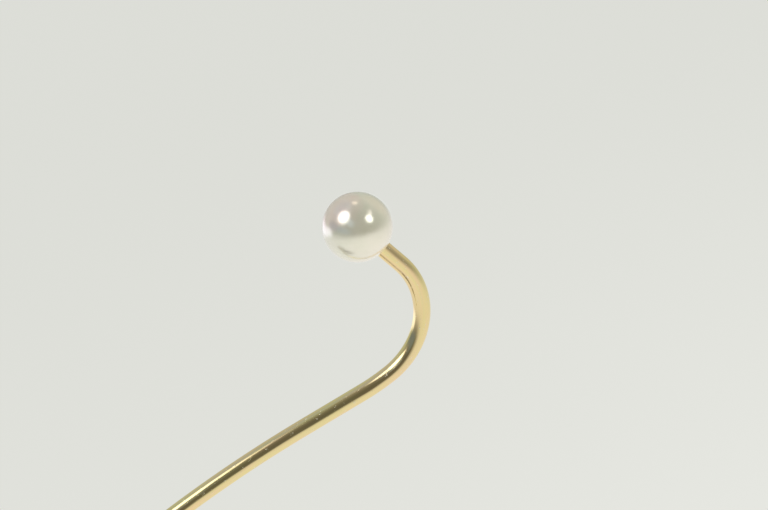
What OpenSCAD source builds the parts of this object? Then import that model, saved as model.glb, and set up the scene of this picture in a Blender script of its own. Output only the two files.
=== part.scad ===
// Pearl-headed hat pin with a curved neck and a ball-lock guard on its point.
// Millimetres, +Z up. The origin is on the axis of the straight shank, at its top end.
// The point is straight below the origin, and the crook lies in the XZ plane.

/* [Pearl] */
// Diameter of the pearl
pearl_d = 5.0; // [4:0.1:7.5]
// Thickness of the nacre over the bead nucleus
nacre_t = 0.4; // [0.2:0.05:0.6]
// Diameter of the hole drilled in the pearl
drill_d = 0.85; // [0.7:0.05:1.1]
// Depth of the hole below the surface of the pearl
drill_depth = 3.3; // [2:0.1:3.6]

/* [Wire] */
// Diameter of the wire
wire_d = 1.25; // [0.95:0.05:1.45]
// Straight wire between the crook and the pearl
lead_len = 2.1; // [0.4:0.1:4]
// Radius of the crook, at the middle of the wire
crook_r = 5.6; // [3.5:0.1:8]
// Turn of the crook
crook_angle = 100; // [60:1:120]
// Radius of the easy bend that leads into the crook
ease_r = 15; // [8:0.5:24]
// Turn of the easy bend
ease_angle = 9; // [4:1:40]
// Straight neck below the easy bend
neck_len = 5; // [3:0.5:14]
// Radius of the slight bow between the neck and the shank
bow_r = 90; // [40:1:150]
// Turn of the bow, the opposite way to the crook
bow_angle = 9.5; // [2:0.5:14]
// How much the wire thins in an easy bend, and half of what it thins in the crook
thinning = 0.005; // [0.003:0.001:0.01]
// Parallel shank, which goes through the hat
shank_len = 24; // [16:1:120]
// Slow taper below the shank
taper_len = 10; // [8:0.5:16]
// Diameter where the slow taper meets the point
taper_end_d = 0.84; // [0.7:0.01:0.88]
// Length of the ground point
point_len = 4; // [2.5:0.1:5]
// Diameter of the blunted tip
tip_d = 0.1; // [0.05:0.01:0.2]

/* [Peg] */
// Wall of cement around the peg in the drilled hole
cement_t = 0.05; // [0.03:0.01:0.1]
// Cement between the cupped end of the wire and the pearl
seat_film = 0.03; // [0.02:0.01:0.08]
// Cement left between the end of the peg and the bottom of the hole
peg_end_gap = 0.3; // [0.1:0.05:0.5]
// Number of key grooves cut in the peg
key_grooves = 3; // [1:1:4]
// Width of a key groove
key_w = 0.25; // [0.15:0.05:0.35]
// Depth of a key groove
key_depth = 0.08; // [0.04:0.01:0.12]

/* [Guard barrel] */
// Wall of the barrel
barrel_wall = 0.25; // [0.2:0.05:0.35]
// Length of the barrel from the cap to the mouth
barrel_len = 7.3; // [6.9:0.1:9]
// Thickness of the barrel's lip at the mouth
lip_t = 0.3; // [0.2:0.05:0.5]
// Bevel on the barrel's outer edge
barrel_bevel = 0.12; // [0.05:0.01:0.2]
// Number of turned lines around the barrel
line_count = 2; // [1:1:4]
// Distance between the turned lines
line_pitch = 0.45; // [0.3:0.05:0.8]
// Width of a turned line
line_w = 0.16; // [0.1:0.02:0.24]
// Depth of a turned line
line_depth = 0.06; // [0.03:0.01:0.1]
// Length of the cap's spigot inside the barrel
spigot_len = 0.8; // [0.5:0.1:1.0]
// Depth of the tip's well below the barrel
well_depth = 0.6; // [0.3:0.1:1]

/* [Release collar] */
// Length of the release collar
collar_len = 1.3; // [0.8:0.1:2.5]
// How far the collar stands out past the barrel
collar_step = 0.1; // [0:0.05:0.5]
// Bevel on the collar's outer edges
collar_bevel = 0.14; // [0.05:0.01:0.25]
// Number of flutes in the collar's grip
flute_count = 28; // [12:1:40]
// Depth of a flute
flute_depth = 0.1; // [0.05:0.01:0.15]
// Width of a flute as a share of the distance between flutes
flute_share = 0.6; // [0.4:0.05:0.8]
// Travel of the release collar
release_travel = 0.8; // [0.5:0.05:0.9]

/* [Lock] */
// Diameter of a lock ball
ball_d = 0.8; // [0.65:0.05:1]
// Half angle of the tapered ball seat
seat_angle = 8; // [5:0.5:9]
// Length of the tapered ball seat
seat_len = 2.4; // [2:0.1:2.6]
// Wall of the seat at its thin lower end
seat_wall = 0.08; // [0.06:0.01:0.15]
// Thickness of the cage's wall
cage_wall = 0.33; // [0.25:0.01:0.36]
// Thickness of the cage's flange
flange_t = 0.4; // [0.3:0.05:0.6]
// Bevel inside the cage's mouth
mouth_bevel = 0.12; // [0.05:0.01:0.2]
// Half angle of the tapered window that keeps a ball in the cage
window_angle = 20; // [12:1:25]
// Wire of the lock spring
spring_wire = 0.22; // [0.16:0.02:0.24]
// Turns of the lock spring
spring_turns = 5; // [3:0.5:6]

/* [Clearances] */
// Radial clearance of the wire in the cage
wire_clear = 0.06; // [0.04:0.01:0.1]
// Clearance of the guard's sliding parts
slide_clear = 0.06; // [0.04:0.01:0.1]
// Play of a lock ball against the wire, its seat and its window
ball_play = 0.01; // [0.01:0.005:0.03]
// Gap left under the collar when it is pressed home
stop_gap = 0.05; // [0.03:0.01:0.1]
// Gap between the tip and the bottom of its well
tip_gap = 0.3; // [0.2:0.05:0.6]

/* [Hidden] */
$fn = 96;
overcut = 0.01;       // how far a cutting tool reaches past a face
bend_overlap = 0.03;  // how far a bend reaches inside the wire that it meets
ball_count = 3;

gold = [0.86, 0.73, 0.43];
pearl_white = [0.90, 0.88, 0.84];
shell_white = [0.93, 0.90, 0.82];
resin = [0.85, 0.80, 0.66];
steel = [0.62, 0.63, 0.65];

wire_r = wire_d / 2;
pearl_r = pearl_d / 2;
nucleus_r = pearl_r - nacre_t;
drill_r = drill_d / 2;
peg_r = drill_r - cement_t;
peg_len = drill_depth - peg_end_gap;
tip_z = -(shank_len + taper_len + point_len);

// The wire's line from the top of the shank to the pearl, as stretches of [radius, turn, length, diameter].
// A turn is in degrees, positive towards -X, and a straight stretch has a radius of 0.
function bend(radius, turn, diameter) = [radius, turn, 0, diameter];
function straight(length) = [0, 0, length, wire_d];
stretches = [
    bend(bow_r, -bow_angle, wire_d - thinning),
    straight(neck_len),
    bend(ease_r, ease_angle, wire_d - thinning),
    bend(crook_r, crook_angle, wire_d - 2 * thinning),
];

// Radius of the pin at a height above its tip.
function pin_r(h) =
    h < point_len ? tip_d / 2 + (taper_end_d - tip_d) / 2 * h / point_len
    : h < point_len + taper_len ? taper_end_d / 2 + (wire_d - taper_end_d) / 2 * (h - point_len) / taper_len
    : wire_r;

// Heights in the guard are measured from the floor of the well that takes the tip.
spigot_top = well_depth + spigot_len;
barrel_top = well_depth + barrel_len;
seat_top = barrel_top - lip_t;
seat_bottom = seat_top - seat_len;
flange_top = seat_bottom - slide_clear * 2;
flange_bottom = flange_top - flange_t;
collar_bottom = barrel_top + release_travel + stop_gap;
collar_top = collar_bottom + collar_len;

// The balls' travel is centred on the seat. They have their play between the pin and the seat's cone.
ball_r = ball_d / 2;
window_r = ball_r + ball_play;
ball_z = (seat_top + seat_bottom + release_travel) / 2;
ball_ring_r = pin_r(ball_z - tip_gap) + window_r;
function seat_r(z) = ball_ring_r + window_r / cos(seat_angle) + (ball_z - z) * tan(seat_angle);

// Radii in the guard, from the pin outwards.
cage_bore_r = wire_r + wire_clear;
cage_r = cage_bore_r + cage_wall;
lip_r = cage_r + slide_clear;
bore_r = seat_r(seat_bottom) + seat_wall;
flange_r = bore_r - slide_clear * 2;
guard_r = bore_r + barrel_wall;
collar_r = guard_r + collar_step;
spring_mean_r = (cage_bore_r + bore_r) / 2;

// Moves its children from the start of a stretch to its end.
module past(s) {
    if (s[0] == 0) translate([0, 0, s[2]]) children();
    else {
        centre_x = s[1] < 0 ? s[0] : -s[0];
        translate([centre_x, 0, 0]) rotate([0, -s[1], 0]) translate([-centre_x, 0, 0]) children();
    }
}

// Moves its children to the start of stretch n, with +Z along the wire.
module at_stretch(n, i = 0) {
    if (i == n) children();
    else past(stretches[i]) at_stretch(n, i + 1) children();
}

module at_crook_end() {
    at_stretch(len(stretches)) children();
}

module at_pearl() {
    at_crook_end() translate([0, 0, lead_len + pearl_r]) children();
}

module at_guard() {
    translate([0, 0, tip_z - tip_gap]) children();
}

// A ring with a square section, for cutting a groove.
module groove(radius, depth, width) {
    difference() {
        cylinder(h = width, r = radius + overcut);
        translate([0, 0, -overcut]) cylinder(h = width + 2 * overcut, r = radius - depth);
    }
}

// A bend of the wire that starts upwards at the origin and turns towards -X.
module left_bend(radius, turn, diameter) {
    overlap_angle = bend_overlap / radius * 180 / PI;
    translate([-radius, 0, 0]) rotate([90, 0, 0]) rotate([0, 0, -overlap_angle])
        rotate_extrude(angle = turn + 2 * overlap_angle, $fn = 360)
            translate([radius, 0]) circle(d = diameter);
}

module stretch(s) {
    if (s[0] == 0) cylinder(h = s[2], d = s[3]);
    else if (s[1] < 0) mirror([1, 0, 0]) left_bend(s[0], -s[1], s[3]);
    else left_bend(s[0], s[1], s[3]);
}

// The shank, its slow taper and the ground point, as one turned profile.
module shank() {
    rotate_extrude() polygon([
        [0, 0], [wire_r, 0], [wire_r, -shank_len],
        [taper_end_d / 2, -shank_len - taper_len],
        [tip_d / 2, tip_z], [0, tip_z],
    ]);
}

// The wire's end at the pearl, cupped to sit on it.
module cupped_end() {
    difference() {
        cylinder(h = lead_len + pearl_r, r = wire_r);
        translate([0, 0, lead_len + pearl_r]) sphere(r = pearl_r + seat_film);
    }
}

// The peg with its key grooves, in the pearl's frame: the hole is drilled from below, along +Z.
module peg() {
    key_pitch = peg_len / (key_grooves + 1);
    difference() {
        translate([0, 0, -pearl_r - lead_len / 2]) cylinder(h = peg_len + lead_len / 2, r = peg_r);
        for (i = [1 : key_grooves])
            translate([0, 0, -pearl_r + i * key_pitch - key_w / 2]) groove(peg_r, key_depth, key_w);
    }
}

module drilled_hole(extra = 0) {
    translate([0, 0, -pearl_r - extra]) cylinder(h = drill_depth + extra, r = drill_r);
}

module pin_wire() {
    color(gold) {
        shank();
        for (i = [0 : len(stretches) - 1]) at_stretch(i) stretch(stretches[i]);
        at_crook_end() cupped_end();
        at_pearl() peg();
    }
}

module pearl_nacre() {
    color(pearl_white) at_pearl() difference() {
        sphere(r = pearl_r);
        sphere(r = nucleus_r);
        drilled_hole(overcut);
    }
}

module pearl_nucleus() {
    color(shell_white) at_pearl() difference() {
        sphere(r = nucleus_r);
        drilled_hole(overcut);
    }
}

// Cement fills the hole around the peg, and makes the film under the cupped end.
module pearl_cement() {
    color(resin) at_pearl() difference() {
        union() {
            drilled_hole();
            intersection() {
                sphere(r = pearl_r + seat_film);
                translate([0, 0, -pearl_r - seat_film]) cylinder(h = pearl_r, r = wire_r);
            }
        }
        difference() {
            sphere(r = pearl_r);
            drilled_hole(pearl_r);
        }
        peg();
    }
}

// Barrel: a drawn tube with a turned-in lip at the mouth and decorative turned lines.
module guard_barrel() {
    color(gold) at_guard() difference() {
        rotate_extrude() polygon([
            [bore_r, well_depth], [guard_r, well_depth],
            [guard_r, barrel_top - barrel_bevel], [guard_r - barrel_bevel, barrel_top],
            [lip_r, barrel_top], [lip_r, seat_top], [bore_r, seat_top],
        ]);
        for (i = [1 : line_count])
            translate([0, 0, seat_top - i * line_pitch]) groove(guard_r, line_depth, line_w);
    }
}

// Cap: a round nose, a spigot pressed in the barrel and a well for the tip.
module guard_end_cap() {
    color(gold) at_guard() difference() {
        union() {
            translate([0, 0, well_depth]) difference() {
                sphere(r = guard_r);
                translate([-2 * guard_r, -2 * guard_r, 0]) cube(4 * guard_r);
            }
            translate([0, 0, well_depth - overcut]) cylinder(h = spigot_len + overcut, r = bore_r);
        }
        cylinder(h = spigot_top + overcut, r = cage_bore_r);
    }
}

// Seat: a bush under the lip, whose bore narrows upwards and wedges the balls on the pin.
module guard_ball_seat() {
    color(steel) at_guard() rotate_extrude() polygon([
        [seat_r(seat_bottom), seat_bottom], [bore_r, seat_bottom],
        [bore_r, seat_top], [seat_r(seat_top), seat_top],
    ]);
}

// One ring of points on the spring, around its wire.
function spring_ring(angle, z, sides) = [
    for (k = [0 : sides - 1])
        let (r = spring_mean_r + spring_wire / 2 * cos(k * 360 / sides))
            [r * cos(angle), r * sin(angle), z + spring_wire / 2 * sin(k * 360 / sides)]
];

// Spring: a swept helix between the cap's spigot and the cage's flange.
module guard_spring() {
    sides = 8;
    rings_per_turn = 20;
    rings = ceil(spring_turns * rings_per_turn);
    low = spigot_top + spring_wire / 2 + overcut;
    high = flange_bottom - spring_wire / 2 - overcut;
    points = [for (i = [0 : rings])
        each spring_ring(i * 360 / rings_per_turn, low + (high - low) * i / rings, sides)];
    walls = [for (i = [0 : rings - 1], k = [0 : sides - 1])
        [i * sides + k, i * sides + (k + 1) % sides, (i + 1) * sides + (k + 1) % sides, (i + 1) * sides + k]];
    first_end = [for (k = [sides - 1 : -1 : 0]) k];
    last_end = [for (k = [0 : sides - 1]) rings * sides + k];
    color(steel) at_guard() polyhedron(points, concat(walls, [first_end, last_end]), convexity = 10);
}

// A cone along +X that holds a ball at the ring's radius and is too narrow inside for it to pass.
module ball_window() {
    inner = cage_bore_r / 2;
    outer = cage_r * 1.5;
    slope = tan(window_angle);
    middle_r = window_r / cos(window_angle);
    translate([inner, 0, 0]) rotate([0, 90, 0])
        cylinder(h = outer - inner,
                 r1 = middle_r - (ball_ring_r - inner) * slope,
                 r2 = middle_r + (outer - ball_ring_r) * slope);
}

// Cage: a tube with a flange for the spring and a tapered window for each ball.
module guard_cage() {
    color(gold) at_guard() difference() {
        rotate_extrude() polygon([
            [cage_bore_r, flange_bottom], [flange_r, flange_bottom], [flange_r, flange_top],
            [cage_r, flange_top], [cage_r, collar_top],
            [cage_bore_r + mouth_bevel, collar_top], [cage_bore_r, collar_top - mouth_bevel],
        ]);
        for (i = [1 : ball_count])
            rotate([0, 0, i * 360 / ball_count]) translate([0, 0, ball_z]) ball_window();
    }
}

// Collar: a grip ring pressed on the cage, with bevelled edges and round flutes.
module release_collar() {
    flute_r = PI * collar_r / flute_count * flute_share;
    color(gold) at_guard() translate([0, 0, collar_bottom]) difference() {
        rotate_extrude() polygon([
            [cage_r, 0], [collar_r - collar_bevel, 0], [collar_r, collar_bevel],
            [collar_r, collar_len - collar_bevel], [collar_r - collar_bevel, collar_len], [cage_r, collar_len],
        ]);
        for (i = [1 : flute_count]) rotate([0, 0, i * 360 / flute_count])
            translate([collar_r - flute_depth + flute_r, 0, -overcut])
                cylinder(h = collar_len + 2 * overcut, r = flute_r, $fn = 24);
    }
}

module lock_ball(i) {
    color(steel) at_guard() rotate([0, 0, i * 360 / ball_count])
        translate([ball_ring_r, 0, ball_z]) sphere(r = ball_r);
}

pin_wire();
pearl_nacre();
pearl_nucleus();
pearl_cement();
guard_barrel();
guard_end_cap();
guard_ball_seat();
guard_spring();
guard_cage();
release_collar();
for (i = [1 : ball_count])
    lock_ball(i);
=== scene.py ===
import math

import bpy
import numpy as np
from mathutils import Matrix, Vector


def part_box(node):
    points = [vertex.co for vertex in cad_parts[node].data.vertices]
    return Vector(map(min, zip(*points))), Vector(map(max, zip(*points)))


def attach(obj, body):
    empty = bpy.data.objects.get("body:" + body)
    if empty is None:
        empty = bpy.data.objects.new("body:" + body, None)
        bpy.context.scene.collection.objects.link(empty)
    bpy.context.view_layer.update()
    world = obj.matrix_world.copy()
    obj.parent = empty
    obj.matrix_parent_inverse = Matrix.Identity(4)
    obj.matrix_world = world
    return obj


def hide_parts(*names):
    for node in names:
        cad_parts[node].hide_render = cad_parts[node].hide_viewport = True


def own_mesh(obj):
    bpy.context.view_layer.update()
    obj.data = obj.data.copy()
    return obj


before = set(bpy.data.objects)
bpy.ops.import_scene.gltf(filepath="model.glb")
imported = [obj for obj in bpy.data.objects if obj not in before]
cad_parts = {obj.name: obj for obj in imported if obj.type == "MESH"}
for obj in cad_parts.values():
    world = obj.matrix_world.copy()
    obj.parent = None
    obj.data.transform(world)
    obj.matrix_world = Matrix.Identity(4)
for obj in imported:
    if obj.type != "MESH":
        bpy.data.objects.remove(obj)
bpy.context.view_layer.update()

# The pin: one length of drawn yellow-gold wire, bent to a crook at the top, tapered and ground to a point below,
# and polished. Its upper end is cupped to sit on the pearl and carries a thin peg with key grooves for the cement.
# Sizes are in mm. The drawn radii of the wire and the pearl lie 3 to 4 microns inside the design's.
MM = 0.001
WIRE_R = 0.622
SHANK_LEN, TAPER_LEN, POINT_LEN = 24.0, 10.0, 4.0
TAPER_END_R, TIP_R = 0.42, 0.05
LEAD_LEN = 2.1
PEARL_R, SEAT_FILM = 2.496, 0.034
PEG_R, PEG_LEN, PEG_CHAMFER = 0.375, 3.0, 0.04
KEY_COUNT, KEY_W, KEY_DEPTH = 3, 0.25, 0.08
# Each stretch above the shank: turn towards -X in degrees, and length along the wire.
BENDS = (
    (-9.5, 90.0 * math.radians(9.5)),
    (0.0, 5.0),
    (9.0, 15.0 * math.radians(9.0)),
    (100.0, 5.6 * math.radians(100.0)),
)
CROOK_END = sum(length for turn, length in BENDS)
PEARL_S = CROOK_END + LEAD_LEN + PEARL_R


def along_the_pin(s):
    """Point and heading of the pin's centreline at distance s (mm) from the top of the shank.
    A stretch of steady turn k has heading h = h0 + k t; the point is the integral of (-sin h, cos h) in X and Z."""
    t = np.minimum(s, 0.0)
    x, z, heading = np.zeros_like(s), t.copy(), np.zeros_like(s)
    start, h0 = 0.0, 0.0
    for turn, length in BENDS + ((0.0, np.inf),):
        t = np.clip(s - start, 0.0, length)
        if turn:
            k = math.radians(turn) / length
            x -= (math.cos(h0) - np.cos(h0 + k * t)) / k
            z += (np.sin(h0 + k * t) - math.sin(h0)) / k
            heading += k * t
            h0 += math.radians(turn)
        else:
            x -= math.sin(h0) * t
            z += math.cos(h0) * t
        start += length
    return x, z, heading


def turned(name, s, r, sides=96, closed=False, shape=None):
    """A profile of radius r at distance s, carried round the pin's line: point + r (cos a * side + sin a * Y).
    A closed profile makes a ring; an open one starts and ends on the line and is closed there by a fan.
    shape(r, angle) may change the radius with the angle. The attribute 'drawn' keeps (r cos a, r sin a, s) in mm."""
    s, r = np.asarray(s, float), np.asarray(r, float)
    angle = np.linspace(0.0, 2.0 * math.pi, sides, endpoint=False)
    x, z, heading = along_the_pin(s)
    rr = np.repeat(r[:, None], sides, 1)
    if shape is not None:
        rr = shape(rr, angle[None, :])
    out, across = rr * np.cos(angle), rr * np.sin(angle)
    grid = np.stack([x[:, None] + out * np.cos(heading)[:, None], across,
                     z[:, None] + out * np.sin(heading)[:, None]], -1)
    drawn = np.stack([out, across, np.repeat(s[:, None], sides, 1)], -1)
    points, carried = grid.reshape(-1, 3) * MM, drawn.reshape(-1, 3)
    index = np.arange(len(points)).reshape(-1, sides)
    low = index if closed else index[:-1]
    high = np.roll(index, -1, 0) if closed else index[1:]
    quads = np.stack([low, np.roll(low, -1, 1), np.roll(high, -1, 1), high], -1).reshape(-1, 4)
    faces = quads.tolist()
    if not closed:
        once = np.clip(quads - sides + 1, 0, len(points) - 2 * sides + 1)
        faces = once[:sides, [0, 2, 3]].tolist() + once[sides:-sides].tolist() + once[-sides:, :3].tolist()
        points = np.concatenate([points[:1], points[sides:-sides], points[-1:]])
        carried = np.concatenate([carried[:1], carried[sides:-sides], carried[-1:]])
    mesh = bpy.data.meshes.new(name)
    mesh.from_pydata(points.tolist(), [], faces)
    mesh.attributes.new("drawn", "FLOAT_VECTOR", "POINT").data.foreach_set("vector", carried.ravel())
    mesh.polygons.foreach_set("use_smooth", np.ones(len(faces), bool))
    mesh.update()
    piece = bpy.data.objects.new(name, mesh)
    bpy.context.scene.collection.objects.link(piece)
    return piece


def finish(name, **sockets):
    """A new material with one Principled shader, its constant values set on its own sockets."""
    material = bpy.data.materials.new(name)
    material.use_nodes = True
    tree = material.node_tree
    shader = tree.nodes["Principled BSDF"]
    for socket, value in sockets.items():
        shader.inputs[socket.replace("_", " ")].default_value = value
    return material, tree, shader


def node(tree, kind, inputs=None, **settings):
    """A new node with its settings, and its inputs by name or number: a socket is linked, a value is set."""
    made = tree.nodes.new("ShaderNode" + kind)
    for key, value in settings.items():
        setattr(made, key, value)
    for key, value in (inputs or {}).items():
        if isinstance(value, bpy.types.NodeSocket):
            tree.links.new(value, made.inputs[key])
        else:
            made.inputs[key].default_value = value
    return made


def grain(tree, coords, stretch, scale, detail=3.0, roughness=0.5, distortion=0.0):
    """Noise on stretched coordinates, as one value from 0 to 1."""
    placed = node(tree, "Mapping", {"Vector": coords, "Scale": stretch})
    noise = node(tree, "TexNoise", {"Vector": placed.outputs[0], "Scale": scale, "Detail": detail,
                                    "Roughness": roughness, "Distortion": distortion})
    return noise.outputs["Fac"]


def spread(tree, value, low, high, to_low=0.0, to_high=1.0, smooth=True):
    """A value's range low..high carried to to_low..to_high."""
    made = node(tree, "MapRange", {"Value": value, "From Min": low, "From Max": high,
                                   "To Min": to_low, "To Max": to_high})
    made.interpolation_type = "SMOOTHSTEP" if smooth else "LINEAR"
    return made.outputs["Result"]


def tint(tree, factor, colour_a, colour_b):
    """colour_a blended towards colour_b by a factor."""
    made = node(tree, "Mix", data_type="RGBA")
    for key, value in ((0, factor), (6, colour_a), (7, colour_b)):
        if isinstance(value, bpy.types.NodeSocket):
            tree.links.new(value, made.inputs[key])
        else:
            made.inputs[key].default_value = value if key == 0 else (*value, 1.0)
    return made.outputs[2]


def bump(tree, height, distance, strength, under=None):
    """A bump of one height field, on top of another where given."""
    made = node(tree, "Bump", {"Height": height, "Distance": distance, "Strength": strength})
    if under is not None:
        tree.links.new(under, made.inputs["Normal"])
    return made.outputs["Normal"]


key_pitch = PEG_LEN / (KEY_COUNT + 1)
cup_r = PEARL_R + SEAT_FILM
cup_radii = np.linspace(WIRE_R - 0.02, PEG_R, 5)
tip_z = -(SHANK_LEN + TAPER_LEN + POINT_LEN)
tip_arc = np.linspace(0.0, 0.45 * math.pi, 7)
wire_s = np.concatenate([tip_z + TIP_R * (1 - np.cos(tip_arc)),
                         np.linspace(tip_z + 0.06, -SHANK_LEN - TAPER_LEN, 16),
                         np.linspace(-SHANK_LEN - TAPER_LEN + 0.05, -SHANK_LEN, 12),
                         np.linspace(-SHANK_LEN + 0.05, -0.01, 14)])
wire_radii = np.where(
    wire_s > -SHANK_LEN, WIRE_R,
    np.where(wire_s > -SHANK_LEN - TAPER_LEN,
             TAPER_END_R + (WIRE_R - TAPER_END_R) * (wire_s + SHANK_LEN + TAPER_LEN) / TAPER_LEN,
             TIP_R + (TAPER_END_R - TIP_R) * (wire_s - tip_z) / POINT_LEN))
wire_radii[:len(tip_arc)] = TIP_R * np.sin(tip_arc)
bent_s = np.linspace(0.0, CROOK_END, 300)
lead_end = PEARL_S - math.sqrt(cup_r ** 2 - WIRE_R ** 2)
lead_s = np.array([CROOK_END + 0.4, CROOK_END + 0.9, CROOK_END + 1.4, lead_end - 0.05, lead_end - 0.025])
rim_s, rim_r = np.array([lead_end - 0.008, lead_end - 0.001]), np.array([WIRE_R - 0.003, WIRE_R - 0.01])
cup_s = PEARL_S - np.sqrt(cup_r ** 2 - cup_radii ** 2)
one_key = np.array([(-KEY_W / 2 - 0.001, 0.0), (-KEY_W / 2, KEY_DEPTH),
                    (KEY_W / 2, KEY_DEPTH), (KEY_W / 2 + 0.001, 0.0)])
keys = np.concatenate([one_key + (i * key_pitch, 0.0) for i in range(1, KEY_COUNT + 1)])
peg_s = PEARL_S - PEARL_R + np.concatenate([keys[:, 0], [PEG_LEN - PEG_CHAMFER, PEG_LEN, PEG_LEN]])
peg_radii = np.concatenate([PEG_R - keys[:, 1], [PEG_R, PEG_R - PEG_CHAMFER, 0.0]])
wire_s = np.concatenate([wire_s, bent_s, lead_s, rim_s, cup_s, peg_s])
wire_radii = np.concatenate([wire_radii, np.full(len(bent_s) + len(lead_s), WIRE_R), rim_r, cup_radii, peg_radii])
pin_wire = turned("pin_wire_drawn", wire_s, wire_radii)

gold, tree, shader = finish("polished_yellow_gold_wire", Metallic=1.0)
drawn = node(tree, "Attribute", attribute_name="drawn").outputs["Vector"]
draw_lines = grain(tree, drawn, (1.0, 1.0, 0.03), 8.0, 5.0, 0.6)
fine_lines = grain(tree, drawn, (1.0, 1.0, 0.015), 34.0, 3.0, 0.5)
patches = grain(tree, drawn, (1.0, 1.0, 0.10), 1.5, 3.0, 0.55, 0.4)
ripples = grain(tree, drawn, (0.5, 0.5, 1.0), 0.55, 1.0, 0.4)
scuffs = spread(tree, grain(tree, drawn, (1.0, 1.0, 0.5), 5.0, 4.0, 0.7), 0.615, 0.685)
colour = tint(tree, spread(tree, patches, 0.4, 0.65), (0.885, 0.755, 0.375), (0.93, 0.71, 0.41))
colour = tint(tree, spread(tree, draw_lines, 0.45, 0.75, 0.0, 0.55), colour, (0.79, 0.69, 0.42))
colour = tint(tree, scuffs, colour, (0.93, 0.86, 0.66))
tree.links.new(colour, shader.inputs["Base Color"])
rough = spread(tree, draw_lines, 0.3, 0.75, 0.05, 0.14)
rough = node(tree, "Math", {0: scuffs, 1: 0.22, 2: rough}, operation="MULTIPLY_ADD").outputs[0]
tree.links.new(rough, shader.inputs["Roughness"])
normal = bump(tree, ripples, 0.00003, 0.5)
normal = bump(tree, draw_lines, 0.000008, 0.6, normal)
normal = bump(tree, fine_lines, 0.0000012, 0.6, normal)
normal = bump(tree, scuffs, 0.000008, 0.5, normal)
tree.links.new(normal, shader.inputs["Normal"])
pin_wire.data.materials.append(gold)
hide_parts("pin_wire")
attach(pin_wire, "pin")

# The nucleus: a bead turned from layered mussel shell, polished, on which the pearl grew.
# It is drilled a little past its middle for the peg, and the nacre holds it all round.
NUCLEUS_R, DRILL_R, DRILL_DEPTH = 2.1, 0.425, 3.3


def drilled_ball(outer_r):
    """Profile of a ball on the pin's line at the pearl, drilled from the crook's side: a circle of radius outer_r
    from the hole's edge round to the far pole, and back down the hole from its flat bottom. Returns s and r."""
    edge = math.asin(DRILL_R / outer_r)
    arc = np.concatenate([np.linspace(edge, 0.25, 12, endpoint=False), np.linspace(0.25, math.pi, 120)])
    bottom = DRILL_DEPTH - PEARL_R
    hole_s = np.concatenate([[bottom, bottom], np.linspace(bottom, -outer_r * math.cos(edge), 12)[1:-1]])
    hole_r = np.concatenate([[0.0], np.full(len(hole_s) - 1, DRILL_R)])
    return (PEARL_S + np.concatenate([hole_s, -outer_r * np.cos(arc)]),
            np.concatenate([hole_r, outer_r * np.sin(arc)]))


nucleus = turned("pearl_nucleus_bead", *drilled_ball(NUCLEUS_R - 0.002), sides=128)
shell, tree, shader = finish("polished_mussel_shell", Roughness=0.22)
drawn = node(tree, "Attribute", attribute_name="drawn").outputs["Vector"]
layers = grain(tree, drawn, (1.0, 0.15, 0.15), 5.0, 4.0, 0.6, 0.3)
colour = tint(tree, spread(tree, layers, 0.35, 0.65), (0.90, 0.85, 0.74), (0.80, 0.72, 0.58))
tree.links.new(colour, shader.inputs["Base Color"])
tree.links.new(bump(tree, layers, 0.000004, 0.4), shader.inputs["Normal"])
nucleus.data.materials.append(shell)
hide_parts("pearl_nucleus")
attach(nucleus, "pin")

# The nacre: the pearl's own skin, 0.4 mm of thin mineral layers laid down over the bead.
# It is round, white and lustrous, with a rose overtone at its far pole, and has a few shallow dimples. Its half away
# from the crook is darker and greener: partly a green overtone, partly painted shade.
nacre_arc = np.concatenate([np.linspace(math.asin(DRILL_R / PEARL_R), 0.25, 16, endpoint=False),
                            np.linspace(0.25, math.pi, 220)])
inner_arc = np.linspace(math.pi, math.asin(DRILL_R / NUCLEUS_R), 90)
nacre_s = np.concatenate([-NUCLEUS_R * np.cos(inner_arc), -PEARL_R * np.cos(nacre_arc)])
nacre_r = np.concatenate([NUCLEUS_R * np.sin(inner_arc), PEARL_R * np.sin(nacre_arc)])
pearl = turned("pearl_nacre_skin", PEARL_S + nacre_s, nacre_r, sides=224)
nacre, tree, shader = finish("lustrous_white_nacre", Metallic=0.55, Coat_Weight=0.6, Coat_Roughness=0.10,
                             Coat_IOR=1.6)
pearl.data.materials.append(nacre)
drawn = node(tree, "Attribute", attribute_name="drawn").outputs["Vector"]
depth = node(tree, "SeparateXYZ", {0: drawn}).outputs["Z"]
wander = grain(tree, drawn, (1.0, 1.0, 1.0), 0.45, 2.0, 0.5, 0.6)
depth = node(tree, "Math", {0: wander, 1: 1.6, 2: depth}, operation="MULTIPLY_ADD").outputs[0]
mottle = grain(tree, drawn, (1.0, 1.0, 1.0), 1.3, 4.0, 0.55, 0.3)
skin = grain(tree, drawn, (1.0, 1.0, 1.0), 9.0, 4.0, 0.6)
# Darker and greener towards the half away from the crook: partly the green overtone, partly painted shade. Rose at
# the far pole is the overtone.
colour = tint(tree, spread(tree, depth, PEARL_S - 0.6, PEARL_S + 1.5), (0.91, 0.87, 0.78), (0.84, 0.84, 0.72))
colour = tint(tree, spread(tree, depth, PEARL_S + 2.4, PEARL_S + 3.2), colour, (0.93, 0.765, 0.70))
colour = tint(tree, spread(tree, mottle, 0.3, 0.7, 0.0, 0.4), colour, (0.92, 0.88, 0.80))
tree.links.new(colour, shader.inputs["Base Color"])
tree.links.new(spread(tree, skin, 0.3, 0.7, 0.15, 0.21), shader.inputs["Roughness"])
normal = bump(tree, mottle, 0.00002, 0.5)
normal = bump(tree, skin, 0.0000015, 0.5, normal)
tree.links.new(normal, shader.inputs["Normal"])
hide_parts("pearl_nacre")
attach(pearl, "pin")

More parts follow.
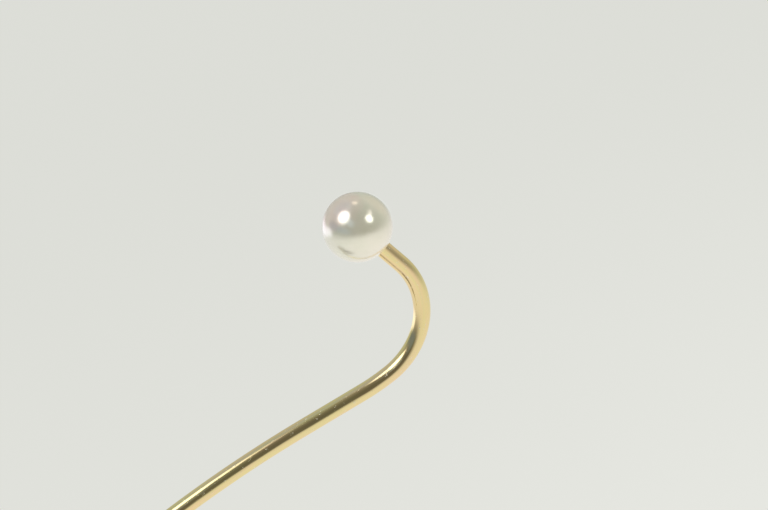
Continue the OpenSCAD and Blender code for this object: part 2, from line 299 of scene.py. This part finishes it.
# The cement: clear amber resin that fills the drilled hole round the peg and its keys.
# A thin film of it lies under the cupped end of the wire.
CEMENT_GAP, HOLE_STEPS = 0.003, 12
cement_s = PEARL_S - PEARL_R + np.concatenate([[DRILL_DEPTH - CEMENT_GAP] * 2,
                                               np.linspace(DRILL_DEPTH - 0.03, 0.06, HOLE_STEPS)])
cement_r = np.concatenate([[0.0, DRILL_R - 0.03], np.full(HOLE_STEPS, DRILL_R - CEMENT_GAP)])
film_r = np.array([DRILL_R - CEMENT_GAP, DRILL_R + 0.03, WIRE_R - 0.02,
                   WIRE_R - 0.015, WIRE_R - 0.03, PEG_R + CEMENT_GAP])
film_ball = np.repeat([PEARL_R + CEMENT_GAP, cup_r - CEMENT_GAP], 3)
film_s = PEARL_S - np.sqrt(film_ball ** 2 - film_r ** 2)
inside_s, inside_r = peg_s[:-3], peg_radii[:-3] + CEMENT_GAP
end_s = PEARL_S - PEARL_R + np.array([PEG_LEN - PEG_CHAMFER, PEG_LEN + CEMENT_GAP, PEG_LEN + CEMENT_GAP])
end_r = np.array([PEG_R + CEMENT_GAP, PEG_R - 0.035, 0.0])
cement = turned("pearl_cement_fill",
                np.concatenate([cement_s, film_s, inside_s, end_s])[::-1],
                np.concatenate([cement_r, film_r, inside_r, end_r])[::-1], sides=64)
resin, tree, shader = finish("amber_cement", Roughness=0.12, Transmission_Weight=0.5, IOR=1.54)
drawn = node(tree, "Attribute", attribute_name="drawn").outputs["Vector"]
cloud = grain(tree, drawn, (1.0, 1.0, 1.0), 6.0, 3.0)
tree.links.new(tint(tree, cloud, (0.86, 0.77, 0.52), (0.70, 0.56, 0.32)), shader.inputs["Base Color"])
cement.data.materials.append(resin)
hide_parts("pearl_cement")
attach(cement, "pin")

# The guard's barrel: a short drawn tube of gilt base metal, closed at its mouth by a turned-in lip.
# Its edges are rounded, and two fine lines are turned round it below the lip.
TIP_GAP, PRESS_GAP, EASE_STEPS = 0.3, 0.004, 5
GUARD_Z = tip_z - TIP_GAP
BORE_R, GUARD_R, LIP_R = 1.600, 1.850, 1.075
WELL_DEPTH, SEAT_TOP, BARREL_TOP = 0.6, 7.6, 7.9


def eased(corners, cut):
    """Corners (s, r) of a profile with each one rounded: the parabola (1-t)^2 p + 2 t (1-t) corner + t^2 q, from p,
    cut before the corner, to q, cut after it. One more point outside each end keeps flats flat. Returns s and r."""
    corners = np.asarray(corners, float)
    before, after = np.roll(corners, 1, 0) - corners, np.roll(corners, -1, 0) - corners
    len_b, len_a = np.linalg.norm(before, axis=1), np.linalg.norm(after, axis=1)
    c = np.minimum(cut, 0.4 * np.minimum(len_b, len_a))[:, None]
    p, q = corners + before / len_b[:, None] * c, corners + after / len_a[:, None] * c
    t = np.linspace(0.0, 1.0, EASE_STEPS)[None, :, None]
    curve = (1 - t) ** 2 * p[:, None] + 2 * t * (1 - t) * corners[:, None] + t ** 2 * q[:, None]
    outer_p = corners + before / len_b[:, None] * c * 1.2
    outer_q = corners + after / len_a[:, None] * c * 1.2
    line = np.concatenate([outer_p[:, None], curve, outer_q[:, None]], 1).reshape(-1, 2)
    return line[:, 0], line[:, 1]


LINE_W, LINE_DEPTH, LINES_BELOW, LIP_CHAMFER = 0.16, 0.06, (0.9, 0.45), 0.12
line_corners = np.concatenate([[(z, GUARD_R), (z + 0.02, GUARD_R - LINE_DEPTH),
                                (z + LINE_W - 0.02, GUARD_R - LINE_DEPTH), (z + LINE_W, GUARD_R)]
                               for z in (SEAT_TOP - below for below in LINES_BELOW)])
mouth_corners = [(BARREL_TOP - LIP_CHAMFER, GUARD_R), (BARREL_TOP, GUARD_R - LIP_CHAMFER), (BARREL_TOP, LIP_R),
                 (SEAT_TOP, LIP_R), (SEAT_TOP, BORE_R)]
s, r = eased(np.concatenate([[(WELL_DEPTH, BORE_R), (WELL_DEPTH, GUARD_R)], line_corners, mouth_corners]), 0.035)
barrel = turned("guard_barrel_tube", GUARD_Z + s, r, sides=160, closed=True)
gilt, tree, shader = finish("polished_gilt", Metallic=1.0)
place = node(tree, "TexCoord").outputs["Object"]
place = node(tree, "Mapping", {"Vector": place, "Scale": (1.0 / MM,) * 3}).outputs[0]
turning = grain(tree, place, (0.05, 0.05, 1.0), 16.0, 4.0, 0.6)
haze = grain(tree, place, (1.0, 1.0, 1.0), 1.4, 3.0, 0.55)
scratches = spread(tree, grain(tree, place, (1.0, 1.0, 0.2), 6.0, 4.0, 0.75), 0.64, 0.72)
colour = tint(tree, spread(tree, haze, 0.35, 0.65), (0.90, 0.735, 0.40), (0.88, 0.70, 0.38))
colour = tint(tree, scratches, colour, (0.92, 0.82, 0.58))
tree.links.new(colour, shader.inputs["Base Color"])
tree.links.new(spread(tree, haze, 0.3, 0.7, 0.08, 0.16), shader.inputs["Roughness"])
normal = bump(tree, turning, 0.0000015, 0.6)
normal = bump(tree, scratches, 0.000002, 0.4, normal)
tree.links.new(normal, shader.inputs["Normal"])
barrel.data.materials.append(gilt)
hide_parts("guard_barrel")
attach(barrel, "guard")

# The guard's end cap: a round gilt nose with a spigot pressed into the barrel.
# Its bore is the well that takes the pin's tip.
SPIGOT_TOP, WELL_R = 1.4, 0.685
nose = np.linspace(0.0, 0.5 * math.pi, 48)
nose_s, nose_r = WELL_DEPTH - GUARD_R * np.cos(nose), GUARD_R * np.sin(nose)
s, r = eased([(WELL_DEPTH, GUARD_R - 0.02), (WELL_DEPTH, BORE_R - PRESS_GAP), (SPIGOT_TOP, BORE_R - PRESS_GAP),
              (SPIGOT_TOP, WELL_R), (0.0, WELL_R)], 0.03)
corner_points = EASE_STEPS + 2  # the first corner's points are dropped, because the nose already ends there
cap = turned("guard_end_cap_nose", GUARD_Z + np.concatenate([nose_s, s[corner_points:], [0.0]]),
             np.concatenate([nose_r, r[corner_points:], [0.0]]), sides=160)
cap.data.materials.append(gilt)
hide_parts("guard_end_cap")
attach(cap, "guard")

# The ball seat: a hardened and polished steel bush under the barrel's lip.
# Its bore narrows upwards, so that the balls wedge on the pin when the guard is pulled off.
SEAT_BOTTOM, SEAT_WIDE_R, SEAT_NARROW_R = 5.2, 1.520, 1.183
s, r = eased([(SEAT_BOTTOM, SEAT_WIDE_R), (SEAT_BOTTOM, BORE_R - PRESS_GAP),
              (SEAT_TOP - PRESS_GAP, BORE_R - PRESS_GAP), (SEAT_TOP - PRESS_GAP, SEAT_NARROW_R)], 0.02)
seat = turned("guard_ball_seat_bush", GUARD_Z + s, r, sides=128, closed=True)
steel, tree, shader = finish("polished_steel", Metallic=1.0)
place = node(tree, "TexCoord").outputs["Object"]
place = node(tree, "Mapping", {"Vector": place, "Scale": (1.0 / MM,) * 3}).outputs[0]
lapping = grain(tree, place, (0.06, 0.06, 1.0), 14.0, 4.0, 0.6)
smears = grain(tree, place, (1.0, 1.0, 1.0), 1.8, 3.0)
tree.links.new(tint(tree, smears, (0.70, 0.70, 0.71), (0.60, 0.60, 0.62)), shader.inputs["Base Color"])
tree.links.new(spread(tree, smears, 0.3, 0.7, 0.07, 0.16), shader.inputs["Roughness"])
tree.links.new(bump(tree, lapping, 0.000001, 0.5), shader.inputs["Normal"])
seat.data.materials.append(steel)
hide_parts("guard_ball_seat")
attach(seat, "guard")

# The lock spring: hard-drawn steel wire coiled between the cap's spigot and the cage's flange.
# It pushes the cage up the barrel, and shortens as the collar is pressed.
SPRING_R, SPRING_WIRE_R, SPRING_TURNS = 1.1425, 0.11, 5
SPRING_LOW, SPRING_HIGH, RELEASE_TRAVEL = 1.52, 4.56, 0.8


def coil(name, turns, ring_steps, sides):
    """A round wire carried along a helix: radius R + w cos b at turn angle a, height z(a) + w sin b.
    Its two ends are closed by flat caps."""
    a = np.linspace(0.0, 2.0 * math.pi * turns, ring_steps * turns + 1)[:, None]
    b = np.linspace(0.0, 2.0 * math.pi, sides, endpoint=False)[None, :]
    rise = SPRING_LOW + (SPRING_HIGH - SPRING_LOW) * a / (2.0 * math.pi * turns)
    wire_r = SPRING_WIRE_R - 0.002
    radius = SPRING_R + wire_r * np.cos(b) + 0.0 * a
    grid = np.stack([radius * np.cos(a), radius * np.sin(a), GUARD_Z + rise + wire_r * np.sin(b)], -1)
    index = np.arange(grid.shape[0] * sides).reshape(-1, sides)
    low, high = index[:-1], index[1:]
    quads = np.stack([low, high, np.roll(high, -1, 1), np.roll(low, -1, 1)], -1).reshape(-1, 4)
    mesh = bpy.data.meshes.new(name)
    mesh.from_pydata((grid.reshape(-1, 3) * MM).tolist(), [],
                     quads.tolist() + [index[0].tolist(), index[-1, ::-1].tolist()])
    mesh.polygons.foreach_set("use_smooth", np.r_[np.ones(len(quads), bool), [False, False]])
    mesh.update()
    piece = bpy.data.objects.new(name, mesh)
    bpy.context.scene.collection.objects.link(piece)
    return piece


spring = coil("guard_spring_coil", SPRING_TURNS, 40, 20)
spring_steel, tree, shader = finish("drawn_spring_steel", Metallic=1.0)
place = node(tree, "TexCoord").outputs["Object"]
place = node(tree, "Mapping", {"Vector": place, "Scale": (1.0 / MM,) * 3}).outputs[0]
die_lines = grain(tree, place, (0.3, 0.3, 1.0), 20.0, 4.0, 0.65)
tree.links.new(tint(tree, die_lines, (0.50, 0.50, 0.52), (0.38, 0.37, 0.37)), shader.inputs["Base Color"])
tree.links.new(spread(tree, die_lines, 0.3, 0.7, 0.2, 0.34), shader.inputs["Roughness"])
tree.links.new(bump(tree, die_lines, 0.000002, 0.5), shader.inputs["Normal"])
spring.data.materials.append(spring_steel)
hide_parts("guard_spring")
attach(spring, "guard")
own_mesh(spring)

# The cage: a gilt tube that runs on the pin, with a flange for the spring at its foot.
# Three windows, tapered so that a ball can't fall inwards, are drilled in its wall.
CAGE_BORE_R, CAGE_R, FLANGE_R, MOUTH_CHAMFER = 0.685, 1.015, 1.480, 0.12
FLANGE_BOTTOM, FLANGE_TOP, COLLAR_BOTTOM, COLLAR_TOP, BALL_Z = 4.68, 5.08, 8.75, 10.05, 6.8
BALL_R, BALL_RING_R, BALL_COUNT = 0.4, 0.88125, 3
WINDOW_TAPER, WINDOW_SIDES, WINDOW_PLAY = math.radians(20.0), 48, 0.01
s, r = eased([(FLANGE_BOTTOM, CAGE_BORE_R), (FLANGE_BOTTOM, FLANGE_R), (FLANGE_TOP, FLANGE_R), (FLANGE_TOP, CAGE_R),
              (COLLAR_TOP, CAGE_R), (COLLAR_TOP, CAGE_BORE_R + MOUTH_CHAMFER),
              (COLLAR_TOP - MOUTH_CHAMFER, CAGE_BORE_R)], 0.03)
cage = turned("guard_cage_tube", GUARD_Z + s, r, sides=120, closed=True)


def window_cutters():
    """Cones with their axes across the pin, evenly round it: the radius grows by tan(taper) times the distance
    out from the ring of balls."""
    reach = np.array([0.3, 1.4])
    middle_r = (BALL_R + WINDOW_PLAY) / math.cos(WINDOW_TAPER)
    around = np.linspace(0.0, 2.0 * math.pi, WINDOW_SIDES, endpoint=False)
    points, faces = [], []
    for i in range(BALL_COUNT):
        turn = math.radians(360.0 / BALL_COUNT * (i + 1))
        cone = (middle_r + (reach - BALL_RING_R) * math.tan(WINDOW_TAPER))[:, None]
        side, up = cone * np.cos(around), cone * np.sin(around)
        far = np.repeat(reach[:, None], WINDOW_SIDES, 1)
        ring = np.stack([far * math.cos(turn) - side * math.sin(turn),
                         far * math.sin(turn) + side * math.cos(turn), GUARD_Z + BALL_Z + up], -1).reshape(-1, 3)
        k = np.arange(WINDOW_SIDES)
        base = 2 * WINDOW_SIDES * i
        top, after = base + WINDOW_SIDES, (k + 1) % WINDOW_SIDES
        walls = np.stack([base + k, base + after, top + after, top + k], -1)
        points.append(ring * MM)
        faces += walls.tolist() + [(base + k[::-1]).tolist(), (top + k).tolist()]
    mesh = bpy.data.meshes.new("window_cutters")
    mesh.from_pydata(np.concatenate(points).tolist(), [], faces)
    cutter = bpy.data.objects.new("window_cutters", mesh)
    bpy.context.scene.collection.objects.link(cutter)
    return cutter


cutter = window_cutters()
windows = cage.modifiers.new("windows", "BOOLEAN")
windows.object, windows.operation, windows.solver = cutter, "DIFFERENCE", "EXACT"
with bpy.context.temp_override(object=cage, active_object=cage):
    bpy.ops.object.modifier_apply(modifier="windows")
bpy.data.objects.remove(cutter)
cage.data.materials.clear()
cage.data.materials.append(gilt)
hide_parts("guard_cage")
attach(cage, "release")

# The release collar: a gilt ring pressed on the top of the cage, turned with rounded edges.
# Its rim is cut with 28 flutes, so that two fingers can press it down or pull it.
COLLAR_R, COLLAR_CHAMFER, COLLAR_GAP, RIM_FROM = 1.950, 0.14, 0.002, 0.3
FLUTE_COUNT, FLUTE_DEPTH, FLUTE_WIDTH, FLUTE_SIDES = 28, 0.1, 0.6, 24
flute_r = math.pi * COLLAR_R / FLUTE_COUNT * FLUTE_WIDTH
flute_ring = COLLAR_R - FLUTE_DEPTH + flute_r


def fluted(radius, angle):
    """The smaller of the profile's radius and the near side of the flute's circle seen from the pin's line:
    R cos b - sqrt(f^2 - (R sin b)^2), with R the ring of circles, f their radius and b the angle off the flute."""
    pitch = 2.0 * math.pi / FLUTE_COUNT
    off = (angle + pitch / 2) % pitch - pitch / 2
    inside = flute_r ** 2 - (flute_ring * np.sin(off)) ** 2
    near = flute_ring * np.cos(off) - np.sqrt(np.maximum(inside, 0.0))
    cut = np.where(inside > 0.0, np.minimum(radius, near), radius)
    return np.where(radius > CAGE_R + RIM_FROM, cut, radius)


s, r = eased([(COLLAR_BOTTOM, CAGE_R + COLLAR_GAP), (COLLAR_BOTTOM, COLLAR_R - COLLAR_CHAMFER),
              (COLLAR_BOTTOM + COLLAR_CHAMFER, COLLAR_R), (COLLAR_TOP - COLLAR_CHAMFER, COLLAR_R),
              (COLLAR_TOP, COLLAR_R - COLLAR_CHAMFER), (COLLAR_TOP, CAGE_R + COLLAR_GAP)], 0.05)
collar = turned("release_collar_ring", GUARD_Z + s, r, sides=FLUTE_COUNT * FLUTE_SIDES, closed=True, shape=fluted)
collar.data.materials.append(gilt)
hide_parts("release_collar")
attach(collar, "release")

# The lock balls: three hardened and polished bearing balls.
# They lie loose in the cage's windows, between the pin and the tapered seat.
BALL_RINGS, BALL_SIDES = 33, 48


def ball(name, turn):
    """A sphere: centre + r (sin p cos a, sin p sin a, -cos p), at polar angle p and turn a, with its poles merged."""
    p = np.linspace(0.0, math.pi, BALL_RINGS)[:, None]
    a = np.linspace(0.0, 2.0 * math.pi, BALL_SIDES, endpoint=False)[None, :]
    centre = np.array([BALL_RING_R * math.cos(turn), BALL_RING_R * math.sin(turn), GUARD_Z + BALL_Z])
    grid = centre + BALL_R * np.stack([np.sin(p) * np.cos(a), np.sin(p) * np.sin(a), -np.cos(p) + 0.0 * a], -1)
    index = np.arange(BALL_RINGS * BALL_SIDES).reshape(-1, BALL_SIDES)
    low, high = index[:-1], index[1:]
    quads = np.stack([low, np.roll(low, -1, 1), np.roll(high, -1, 1), high], -1).reshape(-1, 4)
    once = np.clip(quads - BALL_SIDES + 1, 0, index.size - 2 * BALL_SIDES + 1)
    points = grid.reshape(-1, 3)
    points = np.concatenate([points[:1], points[BALL_SIDES:-BALL_SIDES], points[-1:]]) * MM
    faces = (once[:BALL_SIDES, [0, 2, 3]].tolist() + once[BALL_SIDES:-BALL_SIDES].tolist()
             + once[-BALL_SIDES:, :3].tolist())
    mesh = bpy.data.meshes.new(name)
    mesh.from_pydata(points.tolist(), [], faces)
    mesh.polygons.foreach_set("use_smooth", np.ones(len(faces), bool))
    mesh.update()
    piece = bpy.data.objects.new(name, mesh)
    bpy.context.scene.collection.objects.link(piece)
    return piece


for i in range(1, BALL_COUNT + 1):
    lock_ball = ball(f"lock_ball_{i}_steel", math.radians(360.0 / BALL_COUNT * i))
    lock_ball.data.materials.append(steel)
    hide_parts(f"lock_ball_{i}")
    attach(lock_ball, "release")

# The camera's stand: level with the pin, 30 degrees round from square to the crook's plane, and rolled by 51
# degrees, so that the leg runs down to the left. view_i is to the right, view_j up, and toward is to the camera.
CAMERA_TURN, ROLL, CAMERA_AWAY = math.radians(30.0), math.radians(51.0), 0.3
AIM_RIGHT, AIM_DOWN = 1.88, 1.97
bpy.context.scene.view_settings.view_transform = "Standard"
right = Vector((math.cos(CAMERA_TURN), -math.sin(CAMERA_TURN), 0.0))
toward = Vector((-math.sin(CAMERA_TURN), -math.cos(CAMERA_TURN), 0.0))
up = Vector((0.0, 0.0, 1.0))
view_i = math.cos(ROLL) * right + math.sin(ROLL) * up
view_j = -math.sin(ROLL) * right + math.cos(ROLL) * up
low_corner, high_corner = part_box("pearl_nacre")
pearl_centre = Vector((low_corner.x + PEARL_R * MM, 0.0, high_corner.z - PEARL_R * MM))
aim = pearl_centre + AIM_RIGHT * MM * view_i - AIM_DOWN * MM * view_j
camera_data = bpy.data.cameras.new("camera")
camera_data.lens, camera_data.sensor_width = 199.7, 36.0
camera_data.clip_start, camera_data.clip_end = 0.01, 10.0
camera = bpy.data.objects.new("camera", camera_data)
view_axes = Matrix((view_i, view_j, toward)).transposed().to_4x4()
camera.matrix_world = Matrix.Translation(aim + CAMERA_AWAY * toward) @ view_axes
bpy.context.scene.collection.objects.link(camera)
bpy.context.scene.camera = camera

# The backdrop: a seamless pale paper bowl all round the pin, flat below and above with a round cove between.
# Only the camera sees it. It glows rather than being lit, and its glow is painted light: dimmer at the upper left,
# lighter towards the lower right.
FLOOR_Z, BOWL_R, COVE_R, BOWL_SIDES = -0.075, 1.3, 0.9, 128
cove = np.linspace(-0.5 * math.pi, 0.5 * math.pi, 49)
flat_r = np.linspace(0.0, BOWL_R - COVE_R, 12)[:-1]
bowl_r = np.concatenate([flat_r, BOWL_R - COVE_R + COVE_R * np.cos(cove), np.linspace(BOWL_R - COVE_R, 0.0, 12)[1:]])
bowl_z = np.concatenate([np.full(11, FLOOR_Z), FLOOR_Z + COVE_R + COVE_R * np.sin(cove),
                         np.full(11, FLOOR_Z + 2 * COVE_R)])
turn = np.linspace(0.0, 2.0 * math.pi, BOWL_SIDES, endpoint=False)
bowl_grid = np.stack([bowl_r[:, None] * np.cos(turn), bowl_r[:, None] * np.sin(turn),
                      np.repeat(bowl_z[:, None], BOWL_SIDES, 1)], -1)
index = np.arange(len(bowl_r) * BOWL_SIDES).reshape(-1, BOWL_SIDES)
low, high = index[:-1], index[1:]
bowl_faces = np.stack([low, high, np.roll(high, -1, 1), np.roll(low, -1, 1)], -1).reshape(-1, 4)
bowl_mesh = bpy.data.meshes.new("pale_floor")
bowl_mesh.from_pydata(bowl_grid.reshape(-1, 3).tolist(), [], bowl_faces.tolist())
bowl_mesh.polygons.foreach_set("use_smooth", np.ones(len(bowl_faces), bool))
bowl = bpy.data.objects.new("pale_floor", bowl_mesh)
bpy.context.scene.collection.objects.link(bowl)
bowl.visible_glossy = bowl.visible_diffuse = bowl.visible_shadow = bowl.visible_transmission = False
paper, tree, shader = finish("pale_paper", Base_Color=(0.0, 0.0, 0.0, 1.0), Roughness=1.0, Specular_IOR_Level=0.0,
                             Emission_Strength=1.0)
place = node(tree, "TexCoord").outputs["Object"]
# Painted light: the backdrop's glow brightens along this direction, towards the lower right, with faint cloudy
# blotches.
fall = (0.35 * view_i - 0.94 * view_j).normalized()
side = node(tree, "VectorMath", {0: place, 1: tuple(fall)}, operation="DOT_PRODUCT").outputs["Value"]
clouds = grain(tree, place, (1.0, 1.0, 1.0), 6.0, 2.0)
side = node(tree, "Math", {0: clouds, 1: 0.03, 2: side}, operation="MULTIPLY_ADD").outputs[0]
painted_light_gradient = tint(tree, spread(tree, side, -0.06, 0.18), (0.720, 0.728, 0.683), (0.815, 0.822, 0.776))
tree.links.new(painted_light_gradient, shader.inputs["Emission Color"])
bowl.data.materials.append(paper)

# The light: a broad soft window by the camera that gives the nacre its body, and a world painted by direction,
# which the metal and the nacre mirror: a dark room in front, a bright bench below, lamps and a side window.
# Directions are numbers to the right, up and towards the camera's stand.
MAIN_LAMP, SIDE_LAMP, BENCH = (-0.675, 0.487, 0.555), (0.619, 0.432, 0.656), (0.15, -0.93, -0.34)
window_light = bpy.data.lights.new("window_light", "SUN")
window_light.energy, window_light.angle, window_light.color = 1.1, 1.2, (1.0, 0.92, 0.72)
window = bpy.data.objects.new("window_light", window_light)
window.matrix_world = (0.35 * view_i - 0.1 * view_j + 0.93 * toward).to_track_quat("Z", "Y").to_matrix().to_4x4()
window.visible_glossy = window.visible_camera = False
bpy.context.scene.collection.objects.link(window)

world = bpy.data.worlds.new("studio")
bpy.context.scene.world = world
world.use_nodes = True
tree = world.node_tree
ray = node(tree, "TexCoord").outputs["Generated"]


def toward_ray(i, j, k):
    """How nearly a ray's direction is the one that lies i to the right, j up and k towards the camera's stand."""
    fixed = (i * view_i + j * view_j + k * toward).normalized()
    return node(tree, "VectorMath", {0: ray, 1: tuple(fixed)}, operation="DOT_PRODUCT").outputs["Value"]


def lamp(sky, i, j, k, size, soft, colour):
    """A round soft lamp, size and soft being its half angle and the width of its edge in degrees."""
    inner = math.cos(math.radians(max(size - soft / 2, 0.1)))
    outer = math.cos(math.radians(size + soft / 2))
    return tint(tree, spread(tree, toward_ray(i, j, k), outer, inner), sky, colour)


def strip(sky, end_a, end_b, half_width, soft, colour):
    """A long soft light or shade along the great circle between two directions, its widths in degrees."""
    a = (end_a[0] * view_i + end_a[1] * view_j + end_a[2] * toward).normalized()
    b = (end_b[0] * view_i + end_b[1] * view_j + end_b[2] * toward).normalized()
    half_length = math.degrees(a.angle(b)) / 2
    square, middle = tuple(a.cross(b).normalized()), tuple((a + b).normalized())
    across = node(tree, "VectorMath", {0: ray, 1: square}, operation="DOT_PRODUCT").outputs["Value"]
    along = node(tree, "VectorMath", {0: ray, 1: middle}, operation="DOT_PRODUCT").outputs["Value"]
    off = node(tree, "Math", {0: across}, operation="ABSOLUTE").outputs[0]
    near, far = math.radians(half_width - soft / 2), math.radians(half_width + soft / 2)
    sides = spread(tree, off, math.sin(near), math.sin(far), 1.0, 0.0)
    near, far = math.radians(max(half_length - soft, 0.5)), math.radians(half_length + soft)
    ends = spread(tree, along, math.cos(far), math.cos(near))
    mask = node(tree, "Math", {0: sides, 1: ends}, operation="MULTIPLY").outputs[0]
    return tint(tree, mask, sky, colour)


facing = spread(tree, toward_ray(0.05, -0.25, 1.0), -0.5, 0.9, smooth=False)
sky = tint(tree, facing, (0.54, 0.56, 0.50), (0.145, 0.14, 0.12))
sky = strip(sky, (-0.98, 0.13, -0.145), (-0.424, -0.289, 0.859), 9.0, 12.0, (0.20, 0.25, 0.30))
sky = lamp(sky, -0.62, 0.76, 0.10, 20.0, 30.0, (0.45, 0.51, 0.54))
sky = strip(sky, (-0.663, 0.492, 0.563), (-0.30, 0.12, 0.95), 10.0, 14.0, (0.40, 0.47, 0.54))
sky = lamp(sky, 0.54, 0.70, -0.47, 20.0, 30.0, (0.66, 0.61, 0.53))
floor_side = spread(tree, toward_ray(*BENCH), -0.03, 0.42)
floor_glow = spread(tree, toward_ray(*BENCH), 0.3, 0.8)
sky = tint(tree, floor_side, sky, tint(tree, floor_glow, (0.80, 0.79, 0.76), (0.88, 0.87, 0.83)))
sky = strip(sky, (-0.66, -0.72, -0.16), (-0.20, -0.97, -0.13), 7.0, 8.0, (0.32, 0.30, 0.27))
sky = strip(sky, (-0.95, -0.20, -0.13), (-0.45, 0.04, -0.90), 8.0, 10.0, (1.30, 1.28, 1.42))
sky = lamp(sky, *MAIN_LAMP, 17.0, 16.0, (2.6, 2.6, 2.6))
sky = strip(sky, SIDE_LAMP, (0.567, 0.761, 0.312), 5.0, 7.0, (1.2, 1.12, 1.08))
sky = lamp(sky, *SIDE_LAMP, 10.5, 10.0, (2.6, 2.6, 2.5))
sky = lamp(sky, -0.10, 0.99, 0.066, 5.0, 7.0, (1.4, 1.3, 1.1))
background = tree.nodes["Background"]
tree.links.new(sky, background.inputs["Color"])
